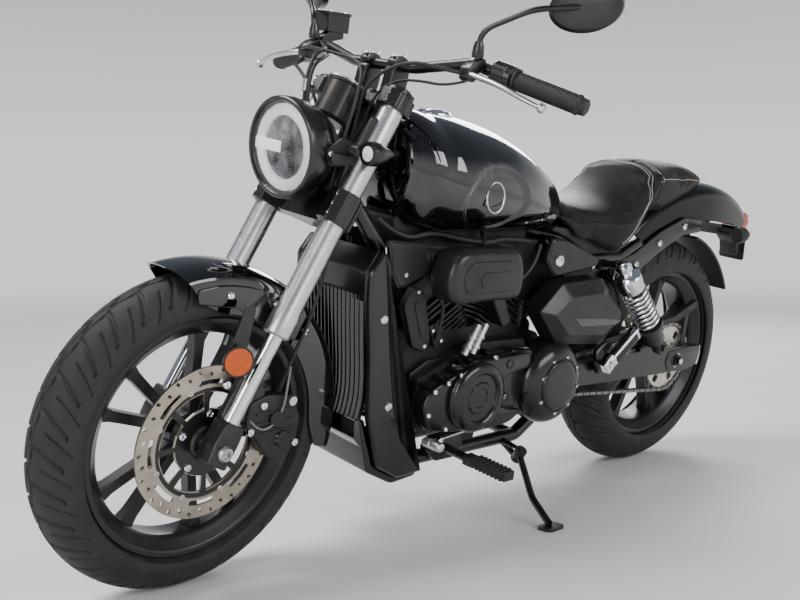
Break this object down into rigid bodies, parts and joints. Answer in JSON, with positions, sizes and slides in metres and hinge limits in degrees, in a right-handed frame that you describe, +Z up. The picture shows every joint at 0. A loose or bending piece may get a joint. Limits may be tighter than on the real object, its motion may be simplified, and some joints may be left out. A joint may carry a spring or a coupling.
{
  "type": "cruiser motorcycle",
  "caption": "Small twin-cylinder cruiser motorcycle leaning on its side stand, with turning wheels, steering and a folding stand.",
  "frame": {"origin": "middle of the bounding box in plan, on the ground under the machine", "axes": "+X towards the front wheel, +Y towards the side the machine leans to (its left), +Z up"},
  "size_m": [2.1323, 0.8746, 1.2306],
  "materials": {
    "main_frame": "satin black",
    "fender_struts": "matte black with chrome bolts",
    "swingarm": "satin black",
    "engine_cases": "matte black casting",
    "cylinders": "matte black fins",
    "engine_covers": "satin black",
    "air_cleaner": "satin black",
    "exhaust": "matte black",
    "radiator": "black core",
    "radiator_cowl": "gloss black",
    "frame_covers": "satin black",
    "fuel_tank": "gloss black",
    "filler_cap": "chrome",
    "rider_seat": "black seat cover",
    "pillion_seat": "black seat cover",
    "side_cases": "satin black",
    "rear_fender": "gloss black",
    "tail_lamp": "red lens",
    "rear_indicators": "black with clear lens",
    "plate_holder": "black",
    "shock_bodies": "chrome and aluminium",
    "shock_springs": "chrome",
    "drive_chain": "steel links",
    "chain_guard": "black",
    "front_sprocket": "steel",
    "footrests": "black and bare alloy",
    "passenger_pegs": "black rubber",
    "stand_mount": "black steel",
    "fork_yokes": "satin black",
    "fork_outers": "silver",
    "fork_sliders": "chrome",
    "front_fender": "gloss black",
    "brake_caliper": "black",
    "control_cables": "black",
    "handlebar": "black",
    "bar_risers": "black",
    "grips": "black rubber",
    "hand_levers": "silver",
    "switchgear": "black",
    "mirrors": "black",
    "mirror_glass": "mirror",
    "instrument": "black",
    "headlight_shell": "black",
    "headlight_lens": "clear",
    "headlight_arms": "black",
    "front_indicators": "black with clear lens",
    "front_tyre": "black rubber",
    "front_rim": "black alloy",
    "front_disc": "steel",
    "rear_tyre": "black rubber",
    "rear_rim": "black alloy",
    "rear_disc": "steel",
    "rear_sprocket": "light steel",
    "side_stand": "black"
  },
  "bodies": {
    "chassis": {"main_frame": "main_frame", "fender_struts": "fender_struts", "swingarm": "swingarm", "engine_cases": "engine_cases", "cylinders": "cylinders", "engine_covers": "engine_covers", "air_cleaner": "air_cleaner", "exhaust": "exhaust", "radiator": "radiator", "radiator_cowl": "radiator_cowl", "frame_covers": "frame_covers", "fuel_tank": "fuel_tank", "filler_cap": "filler_cap", "rider_seat": "rider_seat", "pillion_seat": "pillion_seat", "side_cases": "side_cases", "rear_fender": "rear_fender", "tail_lamp": "tail_lamp", "rear_indicators": "rear_indicators", "plate_holder": "plate_holder", "shock_bodies": "shock_bodies", "shock_springs": "shock_springs", "drive_chain": "drive_chain", "chain_guard": "chain_guard", "front_sprocket": "front_sprocket", "footrests": "footrests", "passenger_pegs": "passenger_pegs", "stand_mount": "stand_mount"},
    "steering": {"fork_yokes": "fork_yokes", "fork_outers": "fork_outers", "fork_sliders": "fork_sliders", "front_fender": "front_fender", "brake_caliper": "brake_caliper", "control_cables": "control_cables", "handlebar": "handlebar", "bar_risers": "bar_risers", "grips": "grips", "hand_levers": "hand_levers", "switchgear": "switchgear", "mirrors": "mirrors", "mirror_glass": "mirror_glass", "instrument": "instrument", "headlight_shell": "headlight_shell", "headlight_lens": "headlight_lens", "headlight_arms": "headlight_arms", "front_indicators": "front_indicators"},
    "front_wheel": {"front_tyre": "front_tyre", "front_rim": "front_rim", "front_disc": "front_disc"},
    "rear_wheel": {"rear_tyre": "rear_tyre", "rear_rim": "rear_rim", "rear_disc": "rear_disc", "rear_sprocket": "rear_sprocket"},
    "stand": {"side_stand": "side_stand"}
  },
  "joints": [
    {"name": "steering", "type": "hinge", "parent": "chassis", "child": "steering", "pos_m": [0.45533, -0.03486, 0.79988], "axis": [-0.4764, 0.1526, 0.8659], "range_deg": [-37.5, 30.5]},
    {"name": "front_wheel_spin", "type": "hinge", "parent": "steering", "child": "front_wheel", "pos_m": [0.76752, -0.12213, 0.29409], "axis": [-0.0538, 0.9779, -0.202], "continuous": true},
    {"name": "rear_wheel_spin", "type": "hinge", "parent": "chassis", "child": "rear_wheel", "pos_m": [-0.65242, -0.12194, 0.30694], "axis": [-0.0001, 0.9848, -0.1736], "continuous": true},
    {"name": "side_stand_fold", "type": "hinge", "parent": "chassis", "child": "stand", "pos_m": [-0.03757, -0.02306, 0.13008], "axis": [0.1579, 0.638, 0.7536], "range_deg": [0, 92]}
  ]
}
